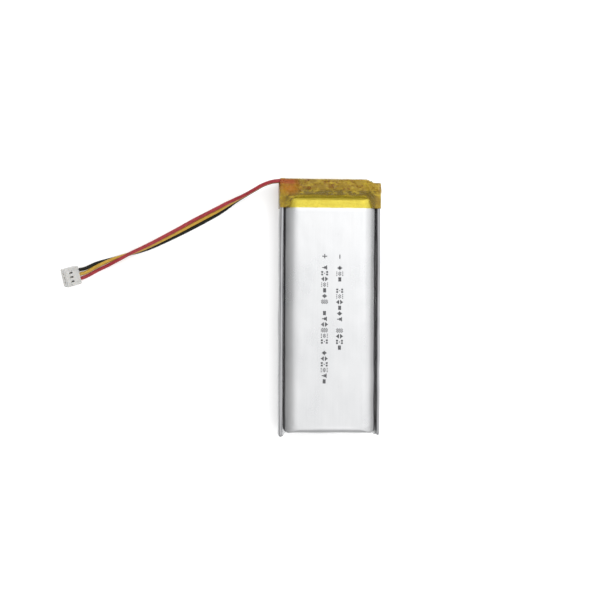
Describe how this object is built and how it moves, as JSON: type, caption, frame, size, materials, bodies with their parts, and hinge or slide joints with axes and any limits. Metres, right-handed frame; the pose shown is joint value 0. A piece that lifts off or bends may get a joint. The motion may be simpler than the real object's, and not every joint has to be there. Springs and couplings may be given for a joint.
{
  "type": "pouch battery cell",
  "caption": "Lithium pouch cell with folded side seals, taped protection circuit at the head and a soft lead that ends in a small white plug.",
  "frame": {"origin": "under the middle of the cell body, on the surface that it lies on, measured without the lead and plug", "axes": "+Z out of the front face, through the cell's thickness; +Y along the cell towards its taped head; +X across its width, away from the side where the lead leaves"},
  "size_m": [0.0912, 0.0736, 0.0099],
  "materials": {
    "laminate": "satin",
    "cathode": "matt",
    "anode": "matt",
    "separator": "matt",
    "roll_tape": "satin",
    "aluminium_tab": "satin",
    "nickel": "satin",
    "sealant": "satin",
    "amber_tape": "glossy",
    "solder_mask": "satin",
    "chip": "matt",
    "ceramic": "matt",
    "resistor": "satin",
    "paper": "matt",
    "solder": "satin",
    "copper": "satin",
    "tin_plate": "satin",
    "nylon": "satin",
    "red_insulation": "satin",
    "yellow_insulation": "satin",
    "black_insulation": "satin"
  },
  "bodies": {
    "root": {"pouch_front": "laminate", "pouch_back": "laminate", "anode_sheet": "anode", "cathode_sheet": "cathode", "separator_inner": "separator", "separator_outer": "separator", "roll_tape": "roll_tape", "positive_tab": "aluminium_tab", "negative_tab": "nickel", "positive_tab_seal": "sealant", "negative_tab_seal": "sealant", "circuit_board": "solder_mask", "mosfet_chip": "chip", "protection_chip": "chip", "sense_resistor": "resistor", "supply_resistor": "resistor", "filter_capacitor": "ceramic", "thermistor": "ceramic", "nickel_strip_positive": "nickel", "nickel_strip_negative": "nickel", "insulating_paper": "paper", "solder_red": "solder", "solder_yellow": "solder", "solder_black": "solder", "strands_red": "copper", "strands_yellow": "copper", "strands_black": "copper", "head_tape": "amber_tape", "lead_tape": "amber_tape", "wire_red": "red_insulation", "wire_yellow": "yellow_insulation", "wire_black": "black_insulation", "plug_housing": "nylon", "terminal_red": "tin_plate", "terminal_yellow": "tin_plate", "terminal_black": "tin_plate", "plug_strands_red": "copper", "plug_strands_yellow": "copper", "plug_strands_black": "copper"}
  },
  "joints": []
}
